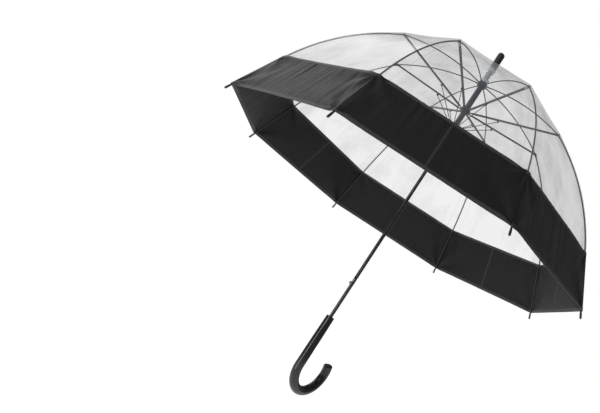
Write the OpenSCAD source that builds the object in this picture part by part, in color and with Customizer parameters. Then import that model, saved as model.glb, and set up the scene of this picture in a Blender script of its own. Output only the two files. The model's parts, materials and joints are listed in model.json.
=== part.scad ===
// Automatic stick umbrella: clear eight-gore dome with a dark border, J-hook handle and two-hub linkage.
// Millimetres. +Z runs along the shaft to the ferrule, the origin is the middle of the straight grip,
// and the hook opens toward +X.

/* [Shaft] */
// Height of the rib pivots above the grip's middle
crown_z = 640; // [600:5:780]
// Outer diameter of the tube
shaft_d = 7.2; // [6.4:0.2:9]
// Wall of the tube
shaft_wall = 0.9; // [0.6:0.1:1.2]
// How far the tube goes into the handle
shaft_insert = 60; // [40:1:90]

/* [Ribs] */
// Angle of the first rib from the hook's direction
rib_turn = 12.5; // [0:0.5:44.5]
// Distance of the rib joints from the shaft's centre line, open
joint_r = 203; // [160:1:240]
// How far the rib joints hang below the crown pivots, open
joint_drop = 36; // [24:1:50]
// Slope of an upper rib where it leaves the crown, downward
root_slope = -4; // [-6:1:4]
// Diameter of the upper ribs' wire
upper_d = 2.4; // [1.8:0.2:3]
// Diameter of the lower ribs' wire
rib_d = 2.8; // [2.4:0.2:3.4]
// Pivot circle of the crown and the runner
pivot_r = 9; // [8:0.5:10]

/* [Canopy] */
// Distance of the border's top edge from the centre line, at the ribs
seam_r = 365.5; // [340:0.5:390]
// Drop of the border's top edge below the crown pivots
seam_drop = 235.5; // [215:0.5:250]
// Distance of the border's corners from the centre line
corner_r = 410; // [400:1:440]
// Drop of the border's corners below the crown pivots
corner_drop = 336; // [320:1:360]
// Rib beyond the border's corner, to the middle of its rounded tip
tip_reach = 12.5; // [8:0.5:24]
// Gap between the ribs' centre lines and the canopy
canopy_gap = 2.6; // [2.4:0.1:4]
// Thickness of the clear film
film_t = 0.2; // [0.2:0.1:1]
// Thickness of the border
border_t = 0.3; // [0.3:0.1:1.2]

/* [Crown and ferrule] */
// Diameter of the crown
crown_d = 20; // [20:0.2:24]
// Height of the crown
crown_h = 11; // [9:1:14]
// Length of the clear collar above the crown
collar_h = 39.5; // [30:0.5:60]
// Diameter of the clear collar
collar_d = 18; // [16:0.5:22]
// Diameter of the ferrule cap
ferrule_d = 16; // [14:0.5:22]
// Length of the ferrule cap
ferrule_h = 43; // [26:1:56]
// Diameter of the stop sleeve under the crown
sleeve_d = 12.6; // [10:0.2:14]

/* [Hubs and links] */
// Diameter of the runner
runner_d = 21; // [20.6:0.2:26]
// Height of the runner above its pivot plane
runner_up = 5.5; // [4.5:0.5:8]
// Distance between the two hubs' pivot planes, open
hub_gap = 43; // [36:1:50]
// Diameter of the runner's neck, which the lower hub slides on
neck_d = 10; // [9.6:0.2:10.8]
// Diameter of the lower hub
lower_hub_d = 28; // [27:0.5:34]
// Pivot circle of the lower hub
link_r = 12; // [11.5:0.1:12.5]
// Half the height of the lower hub, also the runner's depth below its pivots
hub_half = 4; // [3:0.5:6]
// Distance from a runner pivot to its link's pivot, along the stretcher
link_at = 68; // [55:1:90]
// Drop of the link's pivot under the stretcher's centre line
link_drop = 4; // [3.8:0.1:5]
// Diameter of the link wire
link_d = 1.6; // [1.2:0.1:2]
// Diameter of the spring's wire
spring_wire = 1.2; // [0.8:0.1:1.4]
// Turns of the spring
spring_turns = 9; // [4:1:9]

/* [Handle] */
// Length of the straight grip
grip_l = 107; // [90:1:140]
// Diameter at the grip's top
grip_d = 16.8; // [14:0.2:20]
// Diameter round the hook
hook_d = 19.2; // [17:0.2:22]
// Radius of the hook's centre line
hook_r = 46; // [38:1:60]
// How far round the hook turns
hook_sweep = 205; // [170:1:215]

/* [Release] */
// Height of the button above the grip's middle
button_z = 130; // [100:1:160]
// Height of the button's cap off the tube
button_stand = 4.5; // [3:0.5:6]

/* [Hidden] */
RIBS = [1:8];
$fn = 48;

// fits
slip = 0.1;         // runner on the shaft
seat = 0.05;        // fixed pieces on the shaft
pin_fit = 0.05;     // bores on their pins
side_gap = 0.1;     // between the leaves of one joint
clear = 0.4;        // between faces of pieces that pass each other

// linkage: two equal bars, so the runner moves straight along the shaft
shaft_r = shaft_d/2;
bore_r = shaft_r - shaft_wall;
bar_l = norm([joint_r - pivot_r, joint_drop]);
bar_angle = atan2(joint_drop, joint_r - pivot_r);
runner_z = -2*joint_drop;
hub_z = runner_z - hub_gap;

// leaves of a rib joint, as half widths from the rib's plane
upper_r = upper_d/2;
rod_r = rib_d/2;
leaf_t = 0.6;
eye_t = 0.6;
fork_in = eye_t + side_gap;
fork_out = max(fork_in + leaf_t, rod_r);
flange_in = fork_out + side_gap;
flange_out = flange_in + leaf_t;
joint_pin_r = 0.9;
eye_r = 2.2;
fork_r = 2.6;

// ring wires through the crown and the runner
ring_r = 0.6;
ring_hole_r = 0.75;
slot_w = 2*eye_t + 2*0.25;
crown_low = crown_h/2;

// rib lines, in the rib's plane as [distance, height above the crown pivots]
pivot_p = [pivot_r, 0];
joint_p = [joint_r, -joint_drop];
seam_p = [seam_r, -seam_drop];
corner_p = [corner_r, -corner_drop];
hang = atan2(corner_drop - seam_drop, corner_r - seam_r);
tip_p = corner_p + tip_reach*[cos(hang), -sin(hang)];
lower_slope = 2*chord_slope(joint_p, seam_p) - hang;
runner_p = [pivot_r, runner_z];

// runner's neck, and the pocket that the spring stands in
neck_l = hub_gap + hub_half + 3;
spring_r = neck_d/2 + 0.4 + spring_wire;
pocket_z = hub_z - hub_half + 2.5;

// canopy
collar_top = crown_low + collar_h;
shoulder_gap = canopy_gap + 2.2;
seam_air = 0.1;
film_steps = 7;

// link
link_rise = bar_angle;
link_p = runner_p + link_at*[cos(link_rise), sin(link_rise)] + link_drop*[sin(link_rise), -cos(link_rise)];
link_end_p = [link_r, hub_z];

// release
window_w = 3.2;
rocker_z = button_z + 6;
latch_z = button_z + 12;

function chord_slope(a, b) = atan2(a[1] - b[1], b[0] - a[0]);
function slope_out(s) = [sin(s), cos(s)];
function arc_radius(a, b, s) = norm(b - a)/(2*sin(chord_slope(a, b) - s));
function arc_centre(a, b, s) = a - arc_radius(a, b, s)*slope_out(s);
function arc_point(a, b, s, t, out = 0) =
    arc_centre(a, b, s) + (arc_radius(a, b, s) + out)*slope_out(s + 2*t*(chord_slope(a, b) - s));

// film line, on its inner face: collar, straight tent to the joints, then along the lower ribs
film_line = concat(
    [[shaft_r + 0.4, collar_top], [(collar_d/2 + 0.1)/cos(22.5), collar_top]],
    [joint_p + shoulder_gap*slope_out(lower_slope)],
    [for (i = [1:film_steps]) arc_point(joint_p, seam_p, lower_slope, i/film_steps, canopy_gap)]
);
border_line = [film_line[len(film_line) - 1], corner_p + canopy_gap*slope_out(hang)];

// places child geometry in rib i's own plane: x outward, z up from the crown pivots
module at_rib(i) {
    rotate([0, 0, rib_turn + 45*(i - 1)]) translate([0, 0, crown_z]) children();
}

// moves to a point of the rib's plane and turns x to point down by slope
module at_point(p, slope = 0) {
    translate([p[0], 0, p[1]]) rotate([0, slope, 0]) children();
}

// a cylinder across the rib's plane, between two half widths on both sides
module leaves(r, inner, outer) {
    for (side = [-1, 1])
        translate([0, side*(inner + outer)/2, 0]) rotate([90, 0, 0]) cylinder(r = r, h = outer - inner, center = true);
}

module cross_pin(r, half) {
    rotate([90, 0, 0]) cylinder(r = r, h = 2*half, center = true);
}

// round wire bent along an arc of the rib's plane, trimmed at both ends
module arc_wire(a, b, s, r, trim_a, trim_b) {
    radius = arc_radius(a, b, s);
    centre = arc_centre(a, b, s);
    total = 2*(chord_slope(a, b) - s);
    from = trim_a/radius*180/PI;
    to = trim_b/radius*180/PI;
    translate([centre[0], 0, centre[1]]) rotate([90, 0, 0])
        rotate([0, 0, 90 - s - total + to])
            rotate_extrude(angle = total - from - to, $fn = 360) translate([radius, 0]) circle(r = r, $fn = 24);
}

module ring_wire(z) {
    translate([0, 0, z]) rotate_extrude() translate([pivot_r, 0]) circle(r = ring_r, $fn = 24);
}

// ---- handle and shaft ----

module shaft_tube() {
    top = crown_z + collar_top + 15;
    bottom = grip_l/2 - shaft_insert;
    color("#1c1d20") difference() {
        translate([0, 0, bottom]) cylinder(r = shaft_r, h = top - bottom);
        translate([0, 0, bottom - 1]) cylinder(r = bore_r, h = top - bottom + 2);
        // window for the button and the rocker's nose, on the side away from the hook
        translate([-shaft_r - 1, -window_w/2, button_z - 4]) cube([shaft_r + 1, window_w, latch_z - button_z + 8]);
        // holes of the rocker's pin
        translate([-shaft_r + 0.95, 0, rocker_z]) cross_pin(0.4, shaft_r + 1);
    }
}

module hook_handle() {
    low = -grip_l/2;
    tube_r = hook_d/2;
    color("#0f0f10") difference() {
        union() {
            translate([0, 0, low]) cylinder(r1 = tube_r, r2 = grip_d/2, h = grip_l);
            // the hook's bend
            translate([hook_r, 0, low]) rotate([90, 0, 0]) rotate([0, 0, 180])
                rotate_extrude(angle = hook_sweep, $fn = 180) translate([hook_r, 0]) circle(r = tube_r, $fn = 48);
        }
        translate([0, 0, grip_l/2 - shaft_insert]) cylinder(r = shaft_r + seat, h = shaft_insert + 1);
    }
}

// ---- crown and ferrule ----

// eight slots that the rib or stretcher eyes turn in, open outward and to one side
module eye_slots(from_r, low, high) {
    for (i = RIBS) rotate([0, 0, rib_turn + 45*(i - 1)])
        translate([from_r, -slot_w/2, low]) cube([40, slot_w, high - low]);
}

module crown() {
    color("#2b2e33") difference() {
        translate([0, 0, crown_z - crown_low]) cylinder(d = crown_d, h = crown_h);
        translate([0, 0, crown_z]) {
            cylinder(r = shaft_r + seat, h = 3*crown_h, center = true);
            eye_slots(pivot_r - eye_r - clear, -crown_low - 1, eye_r + clear);
            rotate_extrude() translate([pivot_r, 0]) circle(r = ring_r + pin_fit, $fn = 24);
        }
    }
}

module crown_wire() {
    color("#b9bcc0") ring_wire(crown_z);
}

module stop_sleeve() {
    top = crown_z - crown_low;
    bottom = crown_z + runner_z + runner_up + 0.3;
    color("#26282c") translate([0, 0, bottom]) difference() {
        cylinder(d = sleeve_d, h = top - bottom);
        translate([0, 0, -1]) cylinder(r = shaft_r + seat, h = top - bottom + 2);
    }
}

module clear_collar() {
    color("#dfe4e8", 0.4) translate([0, 0, crown_z + crown_low]) difference() {
        cylinder(d = collar_d, h = collar_h);
        translate([0, 0, -1]) cylinder(r = shaft_r + seat, h = collar_h + 2);
    }
}

module ferrule_cap() {
    base = crown_z + collar_top + film_t;
    round_r = 6;
    color("#161617") difference() {
        translate([0, 0, base]) rotate_extrude() {
            square([ferrule_d/2, ferrule_h - round_r]);
            square([ferrule_d/2 - round_r, ferrule_h]);
            intersection() {
                translate([ferrule_d/2 - round_r, ferrule_h - round_r]) circle(r = round_r);
                square([ferrule_d/2, ferrule_h]);
            }
        }
        translate([0, 0, base - 1]) cylinder(r = shaft_r + seat, h = 16);
    }
}

// ---- canopy ----

// one flat-sided gore between two ribs, swept down a line of [distance, height] points
module gore(line, t) {
    n = len(line);
    half = 22.5;
    outer = [for (i = [0:n - 1]) line[i] + t*slope_out(line_slope(line, i))];
    function side_point(p, s) = [
        p[0]*cos(half) + seam_air*sin(half), s*(p[0]*sin(half) - seam_air*cos(half)), p[1]
    ];
    pts = [for (i = [0:n - 1]) each [
        side_point(line[i], -1), side_point(line[i], 1), side_point(outer[i], 1), side_point(outer[i], -1)
    ]];
    faces = concat(
        [[0, 1, 2, 3], [for (k = [3:-1:0]) 4*(n - 1) + k]],
        [for (i = [0:n - 2], k = [0:3]) [4*i + k, 4*i + 4 + k, 4*i + 4 + (k + 1)%4, 4*i + (k + 1)%4]]
    );
    polyhedron(pts, faces);
}

// slope of a line at one of its points: the mean of its neighbours' slopes
function line_slope(line, i) =
    i == 0 ? chord_slope(line[0], line[1])
    : i == len(line) - 1 ? chord_slope(line[i - 1], line[i])
    : (chord_slope(line[i - 1], line[i]) + chord_slope(line[i], line[i + 1]))/2;

module gores(line, t) {
    for (i = RIBS) rotate([0, 0, rib_turn + 45*(i - 1) + 22.5]) translate([0, 0, crown_z]) gore(line, t);
}

module film_canopy() {
    color("#e8ecef", 0.35) gores(film_line, film_t);
}

module border_canopy() {
    color("#1e1e20") gores(border_line, border_t);
}

// closing strap, laid flat on the outside of the panel between ribs 1 and 2
module tie_strap() {
    strap_w = 14;
    strap_l = 80;
    flat = cos(22.5);
    a = border_line[0];
    b = border_line[1];
    slope = atan2(a[1] - b[1], (b[0] - a[0])*flat);
    mid = [(a[0] + b[0])/2*flat, (a[1] + b[1])/2];
    off = border_t + 0.3;
    color("#151516") rotate([0, 0, rib_turn + 22.5]) translate([0, 0, crown_z])
        translate([mid[0], 0, mid[1]]) rotate([0, slope, 0])
            translate([-strap_w/2, -strap_l/2, off]) cube([strap_w, strap_l, 1]);
}

// ---- release ----

module release_button() {
    color("#3a3b3d") translate([0, 0, button_z]) rotate([0, -90, 0]) {
        // stem through the window, and the rounded cap outside
        translate([-1.8, -1.2, 1.6]) cube([3.6, 2.4, shaft_r + button_stand - 3]);
        translate([0, 0, shaft_r + button_stand - 2.4]) intersection() {
            cylinder(d = 6.4, h = 2.4);
            translate([0, 0, -3.2]) sphere(d = 11.2);
        }
    }
}

// rocker inside the tube: the button pushes its lower arm in, and its nose moves out of the window
module latch_rocker() {
    pin_x = -shaft_r + 0.95;
    color("#8d9094") difference() {
        translate([pin_x, -0.7, rocker_z]) union() {
            translate([-0.2, 0, -3.6]) cube([1.2, 1.4, 10]);
            translate([0, 0.7, 0]) cross_pin(0.85, 0.7);
            translate([0, 1.4, 0]) rotate([90, 0, 0])
                linear_extrude(1.4) polygon([[0.2, 3.6], [-1.6, 4.2], [0.2, 6.4]]);
        }
        translate([pin_x, 0, rocker_z]) cross_pin(0.45, 2);
    }
}

module latch_pin() {
    color("#b9bcc0") translate([-shaft_r + 0.95, 0, rocker_z]) cross_pin(0.4, 2.2);
}

// ---- hubs ----

module runner() {
    color("#2b2e33") translate([0, 0, crown_z + runner_z]) difference() {
        union() {
            translate([0, 0, -hub_half]) cylinder(d = runner_d, h = hub_half + runner_up);
            // neck inside the spring, on past the lower hub
            translate([0, 0, -neck_l]) cylinder(d = neck_d, h = neck_l);
        }
        cylinder(r = shaft_r + slip, h = 3*neck_l, center = true);
        eye_slots(pivot_r - eye_r - clear, -eye_r - clear, runner_up + 1);
        rotate_extrude() translate([pivot_r, 0]) circle(r = ring_r + pin_fit, $fn = 24);
    }
}

module runner_wire() {
    color("#b9bcc0") ring_wire(crown_z + runner_z);
}

// lower hub: its toothed rim holds the links' ends in open slots, and a pocket takes the spring's foot
module spring_hub() {
    link_slot = link_d + 1.2;
    color("#2b2e33") translate([0, 0, crown_z + hub_z]) difference() {
        translate([0, 0, -hub_half]) cylinder(d = lower_hub_d, h = 2*hub_half);
        cylinder(r = neck_d/2 + slip, h = 60, center = true);
        translate([0, 0, pocket_z - hub_z]) cylinder(r = spring_r + clear, h = 2*hub_half);
        for (i = RIBS) rotate([0, 0, rib_turn + 45*(i - 1)])
            translate([link_r - link_d/2 - 1.2, -link_slot/2, -20]) cube([40, link_slot, 40]);
    }
}

// open coil between the hubs: a six-sided wire swept along a helix
module coil_spring() {
    wire_r = spring_wire/2;
    mean_r = spring_r - wire_r;
    air = 0.15;
    low = pocket_z + wire_r + air;
    high = runner_z - hub_half - wire_r - air;
    steps = 12;
    sides = 6;
    n = spring_turns*steps;
    pts = [for (i = [0:n], k = [0:sides - 1])
        let (turn = 360*i/steps, q = 360*k/sides, r = mean_r + wire_r*cos(q))
        [r*cos(turn), r*sin(turn), low + (high - low)*i/n + wire_r*sin(q)]];
    faces = concat(
        [[for (k = [0:sides - 1]) k], [for (k = [sides - 1:-1:0]) n*sides + k]],
        [for (i = [0:n - 1], k = [0:sides - 1])
            [i*sides + k, (i + 1)*sides + k, (i + 1)*sides + (k + 1)%sides, i*sides + (k + 1)%sides]]
    );
    color("#6c7075") translate([0, 0, crown_z]) polyhedron(pts, faces);
}

// ---- ribs, stretchers and links ----

// flat tongue that ends in a round eye at the origin and runs along +x
module tongue(length, half_h = 1.2) {
    cross_pin(eye_r, eye_t);
    translate([0, -eye_t, -half_h]) cube([length, 2*eye_t, 2*half_h]);
}

module rib_upper(i) {
    root_l = crown_low + 2.5;
    end_l = 5.5;
    end_slope = 2*chord_slope(pivot_p, joint_p) - root_slope;
    color("#222428") at_rib(i) {
        difference() {
            union() {
                at_point(pivot_p, root_slope) tongue(root_l + 1);
                arc_wire(pivot_p, joint_p, root_slope, upper_r, root_l, end_l);
                at_point(joint_p, end_slope + 180) tongue(end_l + 1);
            }
            at_point(pivot_p) cross_pin(ring_hole_r, 4);
        }
        // rib joint's pin, with a head outside each stretcher flange
        at_point(joint_p) {
            cross_pin(joint_pin_r, flange_out + 0.2);
            leaves(1.4, flange_out + 0.1, flange_out + 0.5);
        }
    }
}

module rib_lower(i) {
    block_from = fork_r + 0.6;
    block_to = 8;
    rod_from = 6;
    color("#222428") at_rib(i) {
        at_point(joint_p, lower_slope) difference() {
            union() {
                leaves(fork_r, fork_in, fork_out);
                for (side = [-1, 1])
                    translate([0, side*(fork_in + fork_out)/2 - (fork_out - fork_in)/2, -rod_r])
                        cube([block_to, fork_out - fork_in, rib_d]);
                translate([block_from, -fork_out, -rod_r]) cube([block_to - block_from, 2*fork_out, rib_d]);
            }
            cross_pin(joint_pin_r + pin_fit, 4);
        }
        arc_wire(joint_p, seam_p, lower_slope, rod_r, rod_from, 0);
        at_point(seam_p, hang + 90) {
            cylinder(r = rod_r, h = norm(tip_p - seam_p) - 2);
            // crimp at the border's top edge
            translate([0, 0, -3]) cylinder(r = rod_r + 0.3, h = 6);
        }
    }
}

// moulded cap: a sleeve under the border's corner, widening to a rounded end
module rib_tip(i) {
    root_r = rod_r + 0.4;
    end_r = rod_r + 0.8;
    cap_l = tip_reach + 8;
    color("#121213") at_rib(i) at_point(tip_p, hang + 90) difference() {
        rotate_extrude() {
            polygon([[0, -cap_l], [root_r, -cap_l], [root_r, -tip_reach], [end_r, -tip_reach/2], [end_r, 0], [0, 0]]);
            intersection() {
                circle(r = end_r);
                translate([0, -end_r]) square(2*end_r);
            }
        }
        translate([0, 0, -cap_l - 1]) cylinder(r = rod_r, h = cap_l - 1);
    }
}

// channel open to the top, so that the upper rib can lie in it; x runs from the runner to the rib joint
module stretcher(i) {
    body_from = runner_up + 3;
    body_to = bar_l - 11;
    low = 1.3;
    high = 1.4;
    lug_r = 1.6;
    color("#222428") at_rib(i) at_point(runner_p, -bar_angle) difference() {
        union() {
            tongue(body_from + 3);
            translate([body_from, -flange_out, -low]) cube([body_to - body_from, 2*flange_out, low + high]);
            translate([bar_l, 0, 0]) leaves(eye_r + 0.2, flange_in, flange_out);
            for (side = [-1, 1])
                translate([body_to - 1, side*(flange_in + flange_out)/2 - leaf_t/2, -low])
                    cube([bar_l - body_to + 1, leaf_t, low + high]);
            // two lugs that carry the link's pin
            translate([link_at, 0, -link_drop]) leaves(lug_r, flange_in, flange_out);
            for (side = [-1, 1])
                translate([link_at - lug_r, side*(flange_in + flange_out)/2 - leaf_t/2, -link_drop])
                    cube([2*lug_r, leaf_t, link_drop]);
        }
        translate([body_from + 4, -flange_in, -low + leaf_t])
            cube([bar_l, 2*flange_in, low + high]);
        cross_pin(ring_hole_r, 4);
        translate([bar_l, 0, 0]) cross_pin(joint_pin_r + pin_fit, 4);
        translate([link_at, 0, -link_drop]) cross_pin(link_d/2 + pin_fit, 4);
    }
}

module link(i) {
    wire_r = link_d/2;
    span = norm(link_p - link_end_p);
    slope = chord_slope(link_end_p, link_p);
    color("#3c3f44") at_rib(i) {
        at_point(link_end_p, slope + 90) cylinder(r = wire_r, h = span);
        at_point(link_end_p) sphere(r = wire_r + 0.2);
        at_point(link_p) cross_pin(wire_r, flange_out + 0.4);
    }
}

shaft_tube();
hook_handle();
crown();
crown_wire();
stop_sleeve();
clear_collar();
ferrule_cap();
film_canopy();
border_canopy();
tie_strap();
release_button();
latch_rocker();
latch_pin();
runner();
runner_wire();
coil_spring();
spring_hub();
for (i = RIBS) rib_upper(i);
for (i = RIBS) rib_lower(i);
for (i = RIBS) rib_tip(i);
for (i = RIBS) stretcher(i);
for (i = RIBS) link(i);
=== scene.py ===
"""Looks of the stick umbrella: clear film dome, dark border, black J-hook and slate frame."""
import json
import math

import bpy
from mathutils import Matrix, Vector, noise


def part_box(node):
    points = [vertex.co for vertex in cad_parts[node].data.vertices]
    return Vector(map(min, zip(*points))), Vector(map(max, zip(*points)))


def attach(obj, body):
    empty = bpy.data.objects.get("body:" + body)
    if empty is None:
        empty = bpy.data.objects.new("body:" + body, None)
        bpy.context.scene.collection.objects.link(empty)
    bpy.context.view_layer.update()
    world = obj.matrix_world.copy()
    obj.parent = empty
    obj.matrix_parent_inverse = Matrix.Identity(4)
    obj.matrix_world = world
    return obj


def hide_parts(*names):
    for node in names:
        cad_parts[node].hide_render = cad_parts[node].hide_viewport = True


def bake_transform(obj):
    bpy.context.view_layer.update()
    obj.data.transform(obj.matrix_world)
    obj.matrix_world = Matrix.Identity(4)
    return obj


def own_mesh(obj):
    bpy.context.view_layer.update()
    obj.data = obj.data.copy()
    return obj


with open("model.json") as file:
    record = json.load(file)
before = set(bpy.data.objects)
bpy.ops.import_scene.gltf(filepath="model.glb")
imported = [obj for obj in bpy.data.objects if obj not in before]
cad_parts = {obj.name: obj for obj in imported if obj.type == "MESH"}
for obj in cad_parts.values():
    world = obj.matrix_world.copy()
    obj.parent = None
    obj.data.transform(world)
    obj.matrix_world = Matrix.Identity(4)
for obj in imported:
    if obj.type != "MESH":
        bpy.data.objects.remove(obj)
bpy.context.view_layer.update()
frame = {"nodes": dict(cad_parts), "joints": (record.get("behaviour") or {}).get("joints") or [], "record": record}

# ---- sizes, metres ----

JOINTS = {joint["name"]: joint for joint in frame["joints"]}
RIBS = range(1, 9)
FOLD = "canopy_fold"

PIVOT = Vector(JOINTS[FOLD]["pos_m"])
KNEE = Vector(JOINTS["rib_knee_1"]["pos_m"])
CROWN_Z = PIVOT.z
KNEE_R = math.hypot(KNEE.x, KNEE.y)
KNEE_DROP = CROWN_Z - KNEE.z
RIB_TURN = math.atan2(PIVOT.y, PIVOT.x)
RIB_STEP = math.tau / len(RIBS)
HALF = RIB_STEP / 2
SIDES = {-1: "left", 1: "right"}

# points of a rib below its knee: distance from the shaft, drop below the crown pivots
SEAM = (0.3655, 0.2355)
CORNER = (0.410, 0.336)
# the canopy stands off the ribs' middle line, and further over the knee joints
CANOPY_GAP = 0.0026
KNEE_GAP = 0.0048
COLLAR_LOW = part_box("clear_collar")[0][2]
COLLAR_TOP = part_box("clear_collar")[1][2]
COLLAR_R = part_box("clear_collar")[1][0]
COLLAR_RING_H = 0.009
COLLAR_WAIST = 0.0008

FILM_SAG = 0.035
FILM_FOLDS = 0.0016
# the reach of the border's gathers, and how far each kind of fold stands off
GATHER_SPAN = 0.15
GATHER_FALL = 0.11
GATHERS = 0.0030
PLEATS = 0.0019
SWAY = 0.0030

GRIP_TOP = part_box("hook_handle")[1][2]
GRIP_R = 0.0084
HOOK_TUBE_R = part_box("hook_handle")[1][1]
HOOK_R = 0.046
HOOK_SWEEP = math.radians(205)
HOOK_LOW = -GRIP_TOP

STRAP_L = 0.078
STRAP_W = 0.013


def deselect():
    """Leaves nothing selected, in object mode."""
    if bpy.context.object and bpy.context.object.mode != "OBJECT":
        bpy.ops.object.mode_set(mode="OBJECT")
    bpy.ops.object.select_all(action="DESELECT")


def pick(piece):
    """Leaves one piece selected and active, in object mode."""
    deselect()
    piece.select_set(True)
    bpy.context.view_layer.objects.active = piece


def newest(name):
    """The object that a primitive just made, renamed."""
    piece = bpy.context.object
    piece.name = name
    piece.data.name = name
    return piece


def settle(piece):
    """Puts a piece's place into its mesh."""
    pick(piece)
    bpy.ops.object.transform_apply(location=True, rotation=True, scale=True)
    return piece


def finish_with(piece, kind, **settings):
    """Adds a modifier, applies it and returns the piece."""
    pick(piece)
    modifier = piece.modifiers.new(kind.title(), kind)
    for key, value in settings.items():
        setattr(modifier, key, value)
    bpy.ops.object.modifier_apply(modifier=modifier.name)
    return piece


def smooth(piece, angle):
    """Smooth shading with hard edges past an angle."""
    pick(piece)
    bpy.ops.object.shade_smooth_by_angle(angle=math.radians(angle))
    return piece


def edit_all(piece):
    """Opens a piece in edit mode with everything selected."""
    pick(piece)
    bpy.ops.object.mode_set(mode="EDIT")
    bpy.ops.mesh.select_all(action="SELECT")


def close_up(piece):
    """Turns a piece's faces outward and leaves edit mode."""
    bpy.ops.mesh.select_all(action="SELECT")
    bpy.ops.mesh.normals_make_consistent(inside=False)
    bpy.ops.object.mode_set(mode="OBJECT")


def draw_out(rings, height, radius):
    """Extrudes the selected circle upright through rings of (height, radius)."""
    for next_height, next_radius in rings:
        rise = (0, 0, next_height - height)
        share = next_radius / radius
        bpy.ops.mesh.extrude_region_move(TRANSFORM_OT_translate={"value": rise})
        bpy.ops.transform.resize(value=(share, share, 1), center_override=(0, 0, next_height))
        height, radius = next_height, next_radius


def radial(angle):
    """The level direction at an angle round the shaft."""
    return Vector((math.cos(angle), math.sin(angle), 0))


def rib_angle(rib):
    """Where a rib stands round the shaft."""
    return RIB_TURN + RIB_STEP * (rib - 1)


def gore_chord(rib, side):
    """Where a gore's middle stands round the shaft, and the direction to it from its rib."""
    middle = rib_angle(rib) + side * HALF
    return middle, Vector((-math.sin(middle), math.cos(middle), 0)) * side


def on_rib(rib, point):
    """A point of the rib's own plane, given as distance and drop."""
    return radial(rib_angle(rib)) * point[0] + Vector((0, 0, CROWN_Z - point[1]))


# ---- materials ----


class Value:
    """A shader socket that adds Math nodes when it is used in an expression."""

    def __init__(self, finish, socket):
        self.finish = finish
        self.socket = socket

    def _math(self, operation, *values):
        sockets = dict(enumerate(values))
        return self.finish.add("ShaderNodeMath", {"operation": operation}, sockets)

    def __add__(self, other):
        return self._math("ADD", self, other)

    def __sub__(self, other):
        return self._math("SUBTRACT", self, other)

    def __rsub__(self, other):
        return self._math("SUBTRACT", other, self)

    def __mul__(self, other):
        return self._math("MULTIPLY", self, other)

    def __truediv__(self, other):
        return self._math("DIVIDE", self, other)

    def __pow__(self, other):
        return self._math("POWER", self, other)

    def __lt__(self, other):
        return self._math("LESS_THAN", self, other)

    def __gt__(self, other):
        return self._math("GREATER_THAN", self, other)

    def fraction(self):
        return self._math("FRACT", self)

    def sine(self):
        return self._math("SINE", self)

    def up_to(self, other):
        return self._math("MINIMUM", self, other)

    def at_least(self, other):
        return self._math("MAXIMUM", self, other)

    def away_from(self, other):
        """The distance to a value, either way."""
        return self._math("ABSOLUTE", self - other)

    __radd__ = __add__
    __rmul__ = __mul__


class Finish:
    """A material under construction around one Principled shader."""

    def __init__(self, name, **constants):
        self.material = bpy.data.materials.new(name)
        self.material.use_nodes = True
        self.tree = self.material.node_tree
        self.shader = self.tree.nodes["Principled BSDF"]
        for socket, value in constants.items():
            self.shader.inputs[socket.replace("_", " ")].default_value = value
        self.place = self.add("ShaderNodeTexCoord", {}, {}, "Object")
        self.sheet = self.add("ShaderNodeTexCoord", {}, {}, "UV")

    def add(self, kind, settings, values, output=0):
        """One node: its settings first, then the values or links of its sockets."""
        made = self.tree.nodes.new(kind)
        for key, value in settings.items():
            setattr(made, key, value)
        for socket, value in values.items():
            if isinstance(value, Value):
                self.tree.links.new(value.socket, made.inputs[socket])
            else:
                made.inputs[socket].default_value = value
        return Value(self, made.outputs[output])

    def feed(self, socket, value):
        """Links a value to the shader."""
        self.tree.links.new(value.socket, self.shader.inputs[socket])

    def part(self, vector, axis):
        """One coordinate of a vector."""
        return self.add("ShaderNodeSeparateXYZ", {}, {0: vector}, axis)

    def stretched(self, scale):
        """Coordinates scaled per axis."""
        return self.add("ShaderNodeMapping", {}, {"Vector": self.place, "Scale": scale})

    def grain(self, scale, detail=4, roughness=0.55, vector=None):
        """Noise from 0 to 1."""
        source = vector or self.place
        values = {"Vector": source, "Scale": scale, "Detail": detail, "Roughness": roughness}
        return self.add("ShaderNodeTexNoise", {}, values)

    def between(self, mask, low, high):
        """A colour that runs from low to high with a mask."""
        return self.mixed(mask, (*low, 1), (*high, 1))

    def mixed(self, mask, colour, other):
        """A colour that gives way to another with a mask."""
        values = {"Factor": mask, 6: colour, 7: other}
        return self.add("ShaderNodeMix", {"data_type": "RGBA"}, values, 2)

    def bump(self, height, distance, strength):
        """Feeds the Normal socket from a height."""
        values = {"Height": height, "Distance": distance, "Strength": strength}
        self.feed("Normal", self.add("ShaderNodeBump", {}, values))


def clear_film():
    """Soft clear plastic: a haze with wisps, a doubled edge at the rib and a weld beside it."""
    finish = Finish("clear_film", IOR=1.45, Specular_IOR_Level=0.5)
    across = finish.part(finish.sheet, 0)
    cloud = finish.grain(7, 5, 0.6)
    streak = finish.grain(16, 4, 0.6, finish.stretched((1, 1, 0.35)))
    fine = finish.grain(140, 2)
    along_rib = across.fraction() < 0.035
    weld = across.away_from(0.14) < 0.012
    rim = finish.add("ShaderNodeLayerWeight", {}, {"Blend": 0.5}, 1)
    wisps = (streak - 0.44).at_least(0) * 0.8
    haze = 0.14 + cloud * 0.07 + wisps + along_rib * 0.05 + weld * 0.07 + rim ** 2.0 * 0.19
    finish.feed("Alpha", haze)
    finish.feed("Base Color", finish.between(streak, (0.17, 0.17, 0.168), (0.32, 0.32, 0.312)))
    finish.feed("Roughness", 0.12 + cloud * 0.2)
    finish.bump(cloud * 0.6 + streak * 0.8 + fine * 0.05, 0.003, 0.6)
    return finish.material


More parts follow.
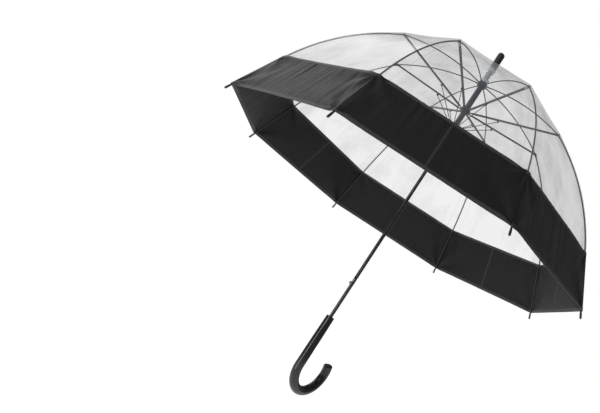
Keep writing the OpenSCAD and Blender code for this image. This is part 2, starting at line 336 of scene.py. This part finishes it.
def clear_plastic():
    """Clear moulding of the collar, which magnifies the tube inside it."""
    finish = Finish("clear_plastic", IOR=1.47, Transmission_Weight=0.72)
    swirl = finish.grain(60, 3)
    finish.feed("Base Color", finish.between(swirl, (0.86, 0.88, 0.90), (0.95, 0.96, 0.97)))
    finish.feed("Roughness", 0.08 + swirl * 0.14)
    return finish.material


def frosted_plastic():
    """Milky ends of the collar."""
    finish = Finish("frosted_plastic", IOR=1.45, Specular_IOR_Level=0.5)
    swirl = finish.grain(80, 4)
    finish.feed("Base Color", finish.between(swirl, (0.42, 0.45, 0.50), (0.62, 0.65, 0.69)))
    finish.feed("Roughness", 0.22 + swirl * 0.2)
    finish.feed("Alpha", 0.62 + swirl * 0.2)
    return finish.material


def border_cloth(name="border_cloth", stitched=False):
    """Black taffeta: a plain weave with a soft sheen, a painted shadow along the rib and a painted highlight along
    the middle crease; a hem is painted greyer as a highlight along its folded edge, with a row of stitches.
    """
    finish = Finish(name, Sheen_Weight=0.035, Sheen_Roughness=0.4, Specular_IOR_Level=0.15)
    threads = 12000
    warp = (finish.part(finish.place, 0) * threads).sine()
    weft = (finish.part(finish.place, 2) * threads).sine()
    slub = finish.grain(900, 2, 0.6, finish.stretched((1, 1, 0.15)))
    crush = finish.grain(22, 5, 0.6, finish.stretched((1, 1, 0.4)))
    shade = crush * 0.6 + slub * 0.4
    if stitched:
        along = finish.part(finish.sheet, 0)
        across = finish.part(finish.sheet, 1)
        thread = (across.away_from(0.5) < 0.09) * ((along * 55).fraction() < 0.62)
        # painted highlight: the hem is greyer than the cloth, standing for light caught along its folded edge
        hem = finish.between(shade, (0.018, 0.018, 0.0175), (0.046, 0.045, 0.043))
        finish.feed("Base Color", hem)
        finish.bump(warp * weft * 0.25 + thread * 1.4 + slub * 0.4, 0.0005, 0.7)
    else:
        # painted shadow: the cloth turns near black along the rib, where the rib's shade falls on it
        rib_shadow = (1 - finish.part(finish.sheet, 0) / 0.022).at_least(0).up_to(1)
        cloth = finish.between(shade, (0.003, 0.003, 0.003), (0.0085, 0.0085, 0.0083))
        # painted highlight: a lighter line along the crease at the gore's middle
        crease_highlight = finish.part(finish.sheet, 0) > 0.988
        with_crease_highlight = finish.mixed(crease_highlight, cloth, (0.024, 0.024, 0.024, 1))
        finish.feed("Base Color", finish.mixed(rib_shadow, with_crease_highlight, (0.0008, 0.0008, 0.0008, 1)))
        finish.bump(warp * weft * 0.15 + slub * 0.3 + crush * 3.0, 0.0012, 0.55)
    finish.feed("Roughness", 0.42 + shade * 0.2)
    return finish.material


def gloss_black():
    """Injection-moulded black with a polished skin and faint handling marks."""
    finish = Finish("gloss_black", IOR=1.46, Specular_IOR_Level=0.45)
    cloud = finish.grain(30, 5, 0.6)
    marks = finish.grain(420, 3, 0.7, finish.stretched((1, 1, 0.08)))
    finish.feed("Base Color", finish.between(cloud, (0.006, 0.006, 0.0062), (0.012, 0.012, 0.0125)))
    finish.feed("Roughness", 0.13 + cloud * 0.07 + (marks > 0.68) * 0.06)
    finish.bump(cloud * 0.5 + marks * 0.05, 0.0002, 0.2)
    return finish.material


def frame_steel():
    """Slate-black enamel on drawn wire, thinner and bluer in patches."""
    finish = Finish("frame_steel", Specular_IOR_Level=0.4)
    cloud = finish.grain(70, 5, 0.6)
    drawn = finish.grain(700, 3, 0.6, finish.stretched((0.2, 0.2, 1)))
    worn = cloud ** 3.0
    finish.feed("Base Color", finish.between(worn, (0.004, 0.006, 0.011), (0.016, 0.022, 0.036)))
    finish.feed("Roughness", 0.30 + drawn * 0.18)
    finish.bump(drawn * 0.4 + cloud * 0.3, 0.0003, 0.5)
    return finish.material


def bright_wire():
    """Bare plated wire of the pins and rings."""
    finish = Finish("bright_wire", Metallic=1.0)
    drawn = finish.grain(900, 3)
    finish.feed("Base Color", finish.between(drawn, (0.42, 0.43, 0.44), (0.62, 0.63, 0.64)))
    finish.feed("Roughness", 0.2 + drawn * 0.2)
    return finish.material


def shaft_black():
    """Black stoved tube: glossy, with fine length-wise draw lines."""
    finish = Finish("shaft_black", Metallic=0.1, Specular_IOR_Level=0.5)
    lines = finish.grain(1500, 2, 0.5, finish.stretched((1, 1, 0.01)))
    cloud = finish.grain(25, 4)
    finish.feed("Base Color", finish.between(cloud, (0.008, 0.0082, 0.009), (0.017, 0.0175, 0.019)))
    finish.feed("Roughness", 0.2 + lines * 0.14)
    finish.bump(lines, 0.0002, 0.4)
    return finish.material


def hub_plastic():
    """Glass-filled nylon of the crown, hubs and sleeve: satin, finely grained."""
    finish = Finish("hub_plastic", Specular_IOR_Level=0.35)
    cloud = finish.grain(55, 5)
    grain = finish.grain(1600, 2)
    finish.feed("Base Color", finish.between(cloud, (0.009, 0.013, 0.023), (0.018, 0.025, 0.042)))
    finish.feed("Roughness", 0.34 + cloud * 0.16)
    finish.bump(grain * 0.5 + cloud * 0.3, 0.0003, 0.5)
    return finish.material


def button_grey():
    """Smooth grey plastic of the release button, painted lighter than its own grey to stand in for the highlight
    ring round it.
    """
    finish = Finish("button_grey", Specular_IOR_Level=0.5)
    cloud = finish.grain(90, 4)
    # partly painted highlight: the grey is lightened to show the ring of light round the button
    finish.feed("Base Color", finish.between(cloud, (0.05, 0.05, 0.05), (0.10, 0.10, 0.098)))
    finish.feed("Roughness", 0.22 + cloud * 0.18)
    return finish.material


def tie_thread():
    """Waxed black thread."""
    finish = Finish("tie_thread", Sheen_Weight=0.2)
    twist = (finish.part(finish.place, 2) * 9000).sine()
    fuzz = finish.grain(1200, 3)
    finish.feed("Base Color", finish.between(fuzz, (0.008, 0.008, 0.0085), (0.022, 0.022, 0.023)))
    finish.feed("Roughness", 0.5 + fuzz * 0.25)
    finish.bump(twist * 0.5 + fuzz, 0.0003, 0.6)
    return finish.material


FILM = clear_film()
CLEAR = clear_plastic()
FROST = frosted_plastic()
CLOTH = border_cloth()
HEM_SHEEN = border_cloth("border_hem", stitched=True)
BLACK = gloss_black()
STEEL = frame_steel()
THREAD = tie_thread()

# the record's material slots
FINISHES = {
    "clear_film": FILM,
    "clear_plastic": CLEAR,
    "dark_border": CLOTH,
    "gloss_black": BLACK,
    "frame_steel": STEEL,
    "bright_wire": bright_wire(),
    "shaft_black": shaft_black(),
    "hub_plastic": hub_plastic(),
    "button_grey": button_grey(),
}


def dress(piece, material):
    """Gives a new piece its material."""
    piece.data.materials.clear()
    piece.data.materials.append(material)


def dress_frame():
    """Gives every CAD node the finish of its slot."""
    slots = {sub["node"]: sub["material_slot"] for sub in frame["record"]["subparts"]}
    for node, piece in frame["nodes"].items():
        for index in range(len(piece.material_slots)):
            piece.material_slots[index].material = FINISHES[slots[node]]


# ---- canopy ----


def slope_between(a, b):
    """The downward slope from one point of a rib line to another."""
    return math.atan2(b[1] - a[1], b[0] - a[0])


HANG = slope_between(SEAM, CORNER)
KNEE_POINT = (KNEE_R, KNEE_DROP)
KNEE_CHORD = slope_between(KNEE_POINT, SEAM)
KNEE_SLOPE = 2 * KNEE_CHORD - HANG
ARC_R = math.dist(KNEE_POINT, SEAM) / (2 * math.sin(KNEE_CHORD - KNEE_SLOPE))
SHOULDER = (
    KNEE_R + KNEE_GAP * math.sin(KNEE_SLOPE),
    KNEE_DROP - KNEE_GAP * math.cos(KNEE_SLOPE),
)
# the film's inner edge rests on the collar's top
TENT_TOP = ((COLLAR_R + 0.0002) / math.cos(HALF), CROWN_Z - COLLAR_TOP - 0.0002)
TENT_SLACK = 0.0035


def tent_line(t):
    """Film between the collar and the knees, slightly slack."""
    r = TENT_TOP[0] + (SHOULDER[0] - TENT_TOP[0]) * t
    drop = TENT_TOP[1] + (SHOULDER[1] - TENT_TOP[1]) * t
    return r, drop + TENT_SLACK * math.sin(math.pi * t) ** 2


def knee_line(t):
    """Film along the bent part of the lower ribs."""
    slope = KNEE_SLOPE + t * (HANG - KNEE_SLOPE)
    gap = CANOPY_GAP + (KNEE_GAP - CANOPY_GAP) * max(0, 1 - t / 0.2) ** 2
    centre_r = KNEE_R - ARC_R * math.sin(KNEE_SLOPE)
    centre_drop = KNEE_DROP + ARC_R * math.cos(KNEE_SLOPE)
    return (
        centre_r + (ARC_R + gap) * math.sin(slope),
        centre_drop - (ARC_R + gap) * math.cos(slope),
    )


def border_line(t):
    """Border, straight from the seam to the corners."""
    out_r = CANOPY_GAP * math.sin(HANG)
    out_drop = -CANOPY_GAP * math.cos(HANG)
    return (
        SEAM[0] + (CORNER[0] - SEAM[0]) * t + out_r,
        SEAM[1] + (CORNER[1] - SEAM[1]) * t + out_drop,
    )


def film_folds(spot, across):
    """Soft tension folds that die at the ribs."""
    free = math.sin(math.pi / 2 * across) ** 0.7
    broad = noise.noise(Vector((spot.x * 9, spot.y * 9, spot.z * 5)))
    fine = noise.noise(Vector((spot.x * 26, spot.y * 26, spot.z * 9 + 7)))
    return FILM_FOLDS * free * (broad + 0.35 * fine)


def film_stand(spot, across, line, t):
    """How far the film stands off its flat gore: sag, tension folds, gathers at the collar."""
    if line is tent_line and t < 0.08:
        return 0.0
    r = math.hypot(spot.x, spot.y)
    sag = -FILM_SAG * r * math.sin(HALF) * (1 - (1 - across) ** 2) * 0.5
    if line is knee_line:
        sag *= 1 - t ** 3
    pleat = 0.0006 * math.sin(across * 9.4) * math.exp(-((r - 0.03) / 0.03) ** 2)
    return sag + film_folds(spot, across) + pleat


def border_stand(rib, side, across, down):
    """How far the border stands off: gathers from the ties at each rib, pleats and a slow sway."""
    width = across * GATHER_SPAN
    fall = down * GATHER_FALL
    lift = 0.0
    for corner, turns, spread in ((0.0, 7.0, 0.045), (GATHER_FALL, 6.0, 0.06)):
        reach = math.hypot(width, fall - corner)
        angle = math.atan2(abs(fall - corner), width + 1e-6)
        phase = rib * 1.7 + side * 0.8 + corner * 30
        wave = GATHERS * math.sin(angle * turns + phase)
        lift += wave * math.exp(-reach / spread) * min(1, reach / 0.012)
    swirl = noise.noise(Vector((across * 20 + rib * 5.3, side * 3.0, down * 0.9)))
    pleat = PLEATS * swirl * math.exp(-down / 0.6) * min(1, down / 0.05) * min(1, across / 0.05)
    pleat *= min(1, (1 - across) / 0.06)
    sway = noise.noise(Vector((rib * 3.1 + side, across * 1.6, down * 1.2)))
    return lift * min(1, width / 0.007) + pleat + SWAY * sway * across * (1 - across)


def canopy_point(rib, side, line, t, across, stand):
    """A point of the half gore beside a rib: across is 0 at the rib and 1 at the gore's middle."""
    here = line(t)
    middle, chord = gore_chord(rib, side)
    spot = on_rib(rib, here) + chord * (across * here[0] * math.sin(HALF))
    slope = slope_between(here, line(t + 0.01))
    up = Vector((0, 0, math.cos(slope)))
    outward = (radial(middle) * math.sin(slope) + up).normalized()
    return spot + outward * stand(spot, across, t)


def grid_sheet(name, columns, rows, place):
    """A sheet laid out by place(across, along), with its UV map kept from the grid."""
    deselect()
    bpy.ops.mesh.primitive_grid_add(x_subdivisions=columns, y_subdivisions=rows, size=1)
    sheet = newest(name)
    for vertex in sheet.data.vertices:
        vertex.co = place(vertex.co.x + 0.5, vertex.co.y + 0.5)
    return sheet


def face_outward(sheet):
    """Turns a canopy sheet so that its faces look away from the shaft."""
    face = sheet.data.polygons[len(sheet.data.polygons) // 2]
    if face.normal.dot(Vector((face.center.x, face.center.y, 0.15))) < 0:
        edit_all(sheet)
        bpy.ops.mesh.flip_normals()
        bpy.ops.object.mode_set(mode="OBJECT")


def gather(piece, rib, side, line, start, end):
    """Works out the direction square to a half gore's rib, which nothing uses, and gives the piece its own mesh.
    """
    first = on_rib(rib, line(start))
    run = (on_rib(rib, line(end)) - first).normalized()
    chord = gore_chord(rib, side)[1]
    axis = chord - run * chord.dot(run)
    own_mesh(piece)


def flat_size(line, start, end):
    """Width and length of a half gore's cut, and its area."""
    steps = 12
    area = 0
    length = 0
    width = 0
    for step in range(steps):
        a = line(start + (end - start) * step / steps)
        b = line(start + (end - start) * (step + 1) / steps)
        stretch = math.dist(a, b)
        length += stretch
        area += stretch * ((a[0] + b[0]) / 2 * math.sin(HALF))
        width = max(width, a[0] * math.sin(HALF), b[0] * math.sin(HALF))
    return width, length, area


# zone name, line, start, end, columns, rows, share of its width kept when folded, of which only its being none is
# read;
# the top zone stays unattached while the others ride a rib
FILM_ZONES = (
    ("top", tent_line, 0.0, 0.26, 12, 10, None),
    ("slope", tent_line, 0.26, 0.6, 14, 12, 0.4),
    ("shoulder", tent_line, 0.6, 1.0, 14, 12, 0.2),
    ("upper", knee_line, 0.0, 0.5, 16, 18, 0.12),
    ("lower", knee_line, 0.5, 1.0, 16, 16, 0.1),
)


def film_zone(rib, side, zone, line, start, end, columns, rows, keep):
    """One zone of the film beside a rib."""
    def place(across, along):
        t = start + (end - start) * along
        return canopy_point(rib, side, line, t, across,
                            lambda spot, share, at: film_stand(spot, share, line, at))

    sheet = grid_sheet(f"film_{zone}_{rib}_{SIDES[side]}", columns, rows, place)
    face_outward(sheet)
    smooth(sheet, 80)
    dress(sheet, FILM)
    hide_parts("film_canopy")
    width, length, area = flat_size(line, start, end)
    if keep is None:
        inner = on_rib(rib, (line(start)[0], 0))
        outer = on_rib(rib, (line(end)[0], 0))
        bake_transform(sheet)
    else:
        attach(sheet, f"rib_{rib}" if line is tent_line else f"rib_end_{rib}")
        gather(sheet, rib, side, line, start, end)


def film_half(rib, side):
    """The clear film on one side of a rib, from the collar to the border."""
    for zone in FILM_ZONES:
        film_zone(rib, side, *zone)


def border_band(name, rib, side, start, end, columns, rows, thick):
    """A band of the border beside a rib, from one share of its fall to another."""
    off = 0.0002

    def place(across, along):
        t = start + (end - start) * along
        return canopy_point(rib, side, border_line, t, across,
                            lambda spot, share, down: off + border_stand(rib, side, share, down))

    piece = grid_sheet(f"{name}_{rib}_{SIDES[side]}", columns, rows, place)
    face_outward(piece)
    finish_with(piece, "SOLIDIFY", thickness=thick, offset=0)
    return smooth(piece, 50)


def border_half(rib, side):
    """The dark border on one side of a rib, with the seam to the film and the lower hem."""
    cloth = border_band("border", rib, side, 0.0, 1.0, 46, 26, 0.0004)
    dress(cloth, CLOTH)
    seam = border_band("border_seam", rib, side, -0.02, 0.035, 30, 3, 0.0009)
    hem = border_band("border_hem", rib, side, 0.94, 1.002, 30, 3, 0.0009)
    for edge in (seam, hem):
        # the seam and hem bands wear cloth painted greyer as a highlight along their folds
        dress(edge, HEM_SHEEN)
    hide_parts("border_canopy")
    width, length, area = flat_size(border_line, 0, 1)
    for piece in (cloth, seam, hem):
        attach(piece, f"rib_end_{rib}")
        gather(piece, rib, side, border_line, 0, 1)


def rib_tie(rib):
    """Thread wound round the rib where the border's top edge is tied to it."""
    turns = []
    centre = on_rib(rib, SEAM)
    along = radial(rib_angle(rib))
    run = along * math.cos(HANG) - Vector((0, 0, math.sin(HANG)))
    turn = run.to_track_quat("Z", "Y").to_euler()
    pitch = 0.0011
    for step in (-1.5, -0.5, 0.5, 1.5):
        deselect()
        bpy.ops.mesh.primitive_torus_add(
            location=centre + run * step * pitch, rotation=turn,
            major_radius=0.0024, minor_radius=0.0006, major_segments=28, minor_segments=10)
        turns.append(newest("turn"))
    inward = (along * math.sin(HANG) + Vector((0, 0, math.cos(HANG)))) * -1
    deselect()
    bpy.ops.mesh.primitive_uv_sphere_add(
        location=centre + inward * 0.0036, segments=20, ring_count=12, radius=0.0019)
    turns.append(newest("knot"))
    deselect()
    for piece in turns:
        piece.select_set(True)
    bpy.context.view_layer.objects.active = turns[0]
    bpy.ops.object.join()
    tie = settle(newest(f"rib_tie_{rib}"))
    smooth(tie, 60)
    dress(tie, THREAD)
    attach(tie, f"rib_end_{rib}")


# ---- handle ----


def bend_hook(handle):
    """Spins the grip's lower edge round the hook, and stays in edit mode."""
    mesh = handle.data
    lowest = [edge for edge in mesh.edges
              if all(mesh.vertices[v].co.z < HOOK_LOW + 1e-5 for v in edge.vertices)]
    for vertex in mesh.vertices:
        vertex.select = False
    for edge in lowest:
        edge.select = True
        for v in edge.vertices:
            mesh.vertices[v].select = True
    bpy.ops.object.mode_set(mode="EDIT")
    bpy.ops.mesh.spin(
        steps=64, angle=HOOK_SWEEP, center=(HOOK_R, 0, HOOK_LOW), axis=(0, 1, 0))


def round_end():
    """Rounds the hook's end ring by ring, along the tube's last direction."""
    round_r = 0.0035
    steps = 8
    run = Vector((-math.sin(HOOK_SWEEP - math.pi), 0, math.cos(HOOK_SWEEP - math.pi)))
    end_x = HOOK_R - HOOK_R * math.cos(HOOK_SWEEP)
    centre = Vector((end_x, 0, HOOK_LOW - HOOK_R * math.sin(HOOK_SWEEP)))
    at = centre
    radius = HOOK_TUBE_R
    for step in range(1, steps + 1):
        turn = math.pi / 2 * step / steps
        ring_r = HOOK_TUBE_R - round_r + round_r * math.cos(turn)
        spot = centre + run * (0.0002 + round_r * 0.7 * math.sin(turn))
        bpy.ops.mesh.extrude_region_move(TRANSFORM_OT_translate={"value": spot - at})
        bpy.ops.transform.resize(value=(ring_r / radius,) * 3, center_override=spot)
        radius, at = ring_r, spot
    bpy.ops.mesh.edge_face_add()
    bpy.ops.mesh.inset(thickness=0.002)


def hook_handle():
    """Polished J-hook: a tapered grip, a spun bend and a rounded end."""
    top_r = GRIP_R - 0.0012
    deselect()
    bpy.ops.mesh.primitive_circle_add(
        vertices=64, radius=top_r, location=(0, 0, GRIP_TOP), fill_type="NGON")
    handle = settle(newest("hook_grip"))
    edit_all(handle)
    rings = [
        (GRIP_TOP - 0.0003, GRIP_R - 0.0004),
        (GRIP_TOP - 0.0012, GRIP_R),
        (HOOK_LOW + 0.001, HOOK_TUBE_R),
        (HOOK_LOW, HOOK_TUBE_R),
    ]
    draw_out(rings, GRIP_TOP, top_r)
    bpy.ops.mesh.delete(type="ONLY_FACE")
    bpy.ops.object.mode_set(mode="OBJECT")
    bend_hook(handle)
    round_end()
    bpy.ops.mesh.select_all(action="SELECT")
    bpy.ops.mesh.remove_doubles(threshold=0.00001)
    close_up(handle)
    smooth(handle, 35)
    dress(handle, BLACK)
    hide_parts("hook_handle")
    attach(handle, "umbrella")


# ---- collar ----


def moulded_ring(name, low, high, radius, material):
    """A bush with a softened edge at each end, moulded straight onto the tube."""
    soft = 0.0006
    deselect()
    bpy.ops.mesh.primitive_circle_add(
        vertices=64, radius=radius - soft, location=(0, 0, low), fill_type="NGON")
    bush = settle(newest(name))
    edit_all(bush)
    rings = [(low + soft, radius), (high - soft, radius), (high, radius - soft)]
    draw_out(rings, low, radius - soft)
    close_up(bush)
    smooth(bush, 30)
    dress(bush, material)
    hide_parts("clear_collar")
    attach(bush, "umbrella")


def clear_collar():
    """Clear bush between two frosted end rings; the film's top rests on the upper one."""
    low = COLLAR_LOW + COLLAR_RING_H
    high = COLLAR_TOP - COLLAR_RING_H
    moulded_ring("collar_ring_low", COLLAR_LOW, low, COLLAR_R, FROST)
    moulded_ring("collar_window", low, high, COLLAR_R - COLLAR_WAIST, CLEAR)
    moulded_ring("collar_ring_high", high, COLLAR_TOP, COLLAR_R, FROST)


# ---- spring ----


def coil_spring():
    """Round wire wound between the hubs; it rides the runner."""
    low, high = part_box("coil_spring")
    wire_r = 0.0007
    mean_r = high[0] - wire_r
    turns = 9
    deselect()
    bpy.ops.mesh.primitive_circle_add(
        vertices=12, radius=wire_r, location=(mean_r, 0, low[2] + wire_r),
        rotation=(math.pi / 2, 0, 0))
    spring = settle(newest("hub_spring"))
    pitch = (high[2] - low[2] - 2 * wire_r) / turns
    finish_with(spring, "SCREW", angle=math.tau, screw_offset=pitch, iterations=turns, steps=40,
                render_steps=40, use_smooth_shade=True, axis="Z")
    edit_all(spring)
    bpy.ops.mesh.remove_doubles(threshold=0.000001)
    bpy.ops.mesh.fill_holes(sides=20)
    close_up(spring)
    dress(spring, STEEL)
    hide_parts("coil_spring")
    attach(spring, "runner")
    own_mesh(spring)


# ---- strap ----


def tie_strap():
    """Closing strap with a press stud, on the border's outside."""
    low, high = (Vector(corner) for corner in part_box("tie_strap"))
    middle = rib_angle(1) + HALF
    slope = math.atan2(CORNER[1] - SEAM[1], (CORNER[0] - SEAM[0]) * math.cos(HALF))
    outward = radial(middle) * math.sin(slope) + Vector((0, 0, math.cos(slope)))
    along = Vector((-math.sin(middle), math.cos(middle), 0))
    down = along.cross(outward)
    centre = (low + high) / 2 + outward * 0.001
    turn = Matrix((along, -down, outward)).transposed().to_4x4()
    deselect()
    bpy.ops.mesh.primitive_grid_add(x_subdivisions=30, y_subdivisions=6, size=1)
    strap = newest("strap_band")
    for vertex in strap.data.vertices:
        x, y = vertex.co.x, vertex.co.y
        wave = 0.0009 * math.cos(x * 12) * 0.6
        vertex.co = (x * STRAP_L, y * STRAP_W, wave)
    strap.matrix_world = Matrix.Translation(centre) @ turn
    settle(strap)
    finish_with(strap, "SOLIDIFY", thickness=0.0012, offset=0)
    smooth(strap, 50)
    # the strap wears the hem's cloth, painted greyer as a highlight
    dress(strap, HEM_SHEEN)
    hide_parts("tie_strap")
    deselect()
    bpy.ops.mesh.primitive_cylinder_add(vertices=32, radius=0.0048, depth=0.0016)
    stud = newest("strap_stud")
    stud.matrix_world = Matrix.Translation(centre + along * 0.030 + outward * 0.0012) @ turn
    settle(stud)
    finish_with(stud, "BEVEL", width=0.0006, segments=3)
    smooth(stud, 40)
    dress(stud, BLACK)
    for piece in (strap, stud):
        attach(piece, "rib_end_1")
        gather(piece, 1, 1, border_line, 0, 1)


# ---- stage ----


def pale_floor():
    """A white floor far below, which glows enough to vanish into the room."""
    deselect()
    bpy.ops.mesh.primitive_plane_add(size=60, location=(0, 0, -1.7))
    floor = newest("floor")
    pale = Finish("floor_pale", Roughness=0.9, Specular_IOR_Level=0.1, Emission_Strength=0.95)
    pale.shader.inputs["Emission Color"].default_value = (1, 1, 1, 1)
    tone = pale.grain(2, 2)
    pale.feed("Base Color", pale.between(tone, (0.86, 0.86, 0.86), (0.9, 0.9, 0.9)))
    floor.data.materials.append(pale.material)


def white_room():
    """A room that the camera sees as white and that lights the object softly."""
    world = bpy.data.worlds.new("white_room")
    bpy.context.scene.world = world
    world.use_nodes = True
    nodes = world.node_tree.nodes
    seen = nodes["Background"]
    seen.inputs["Color"].default_value = (1, 1, 1, 1)
    seen.inputs["Strength"].default_value = 1.0
    lit = nodes.new("ShaderNodeBackground")
    lit.inputs["Color"].default_value = (0.93, 0.96, 1.0, 1)
    lit.inputs["Strength"].default_value = 0.27
    path = nodes.new("ShaderNodeLightPath")
    mix = nodes.new("ShaderNodeMixShader")
    link = world.node_tree.links.new
    link(path.outputs["Is Camera Ray"], mix.inputs[0])
    link(lit.outputs[0], mix.inputs[1])
    link(seen.outputs[0], mix.inputs[2])
    link(mix.outputs[0], nodes["World Output"].inputs[0])


# name, place, size and power of each light
LIGHTS = (
    ("key_light", (-0.2, 2.6, 2.0), (2.4, 2.4), 40),
    ("front_light", (-2.6, -0.4, 1.6), (1.4, 1.4), 9),
    ("edge_light", (-1.97, 0.17, 0.15), (0.26, 2.4), 26),
)
LIT_SPOT = Vector((0, 0, 0.35))


def panel_light(name, spot, size, power):
    """A rectangular light that faces the canopy."""
    data = bpy.data.lights.new(name, "AREA")
    data.shape = "RECTANGLE"
    data.size, data.size_y = size
    data.energy = power
    light = bpy.data.objects.new(name, data)
    bpy.context.scene.collection.objects.link(light)
    light.location = spot
    light.rotation_euler = (LIT_SPOT - Vector(spot)).to_track_quat("-Z", "Y").to_euler()


EYE = Vector((-1.042, -0.750, CROWN_Z - 0.582))
SIGHT = Vector((0.806, 0.552, 0.2134))
LEAN = math.radians(32.9)
SENSOR_MM = 36
LENS_MM = 38.04


def camera():
    """The camera looks a little up into the dome and is rolled, so that the umbrella leans."""
    data = bpy.data.cameras.new("camera")
    eye = bpy.data.objects.new("camera", data)
    bpy.context.scene.collection.objects.link(eye)
    bpy.context.scene.camera = eye
    ahead = SIGHT.normalized()
    level = ahead.cross(Vector((0, 0, 1))).normalized()
    over = level.cross(ahead).normalized()
    right = level * math.cos(LEAN) + over * math.sin(LEAN)
    up = right.cross(ahead)
    turn = Matrix((right, up, -ahead)).transposed()
    eye.matrix_world = Matrix.Translation(EYE) @ turn.to_4x4()
    data.sensor_width = SENSOR_MM
    data.lens = LENS_MM
    data.shift_x = -0.2
    data.clip_end = 100
    bpy.context.scene.view_settings.view_transform = "Standard"


def stage():
    """Pale floor, soft white room, three lights and the camera."""
    pale_floor()
    white_room()
    for light in LIGHTS:
        panel_light(*light)
    camera()


stage()
dress_frame()
for rib in RIBS:
    for side in SIDES:
        film_half(rib, side)
        border_half(rib, side)
    rib_tie(rib)
hook_handle()
clear_collar()
coil_spring()
tie_strap()
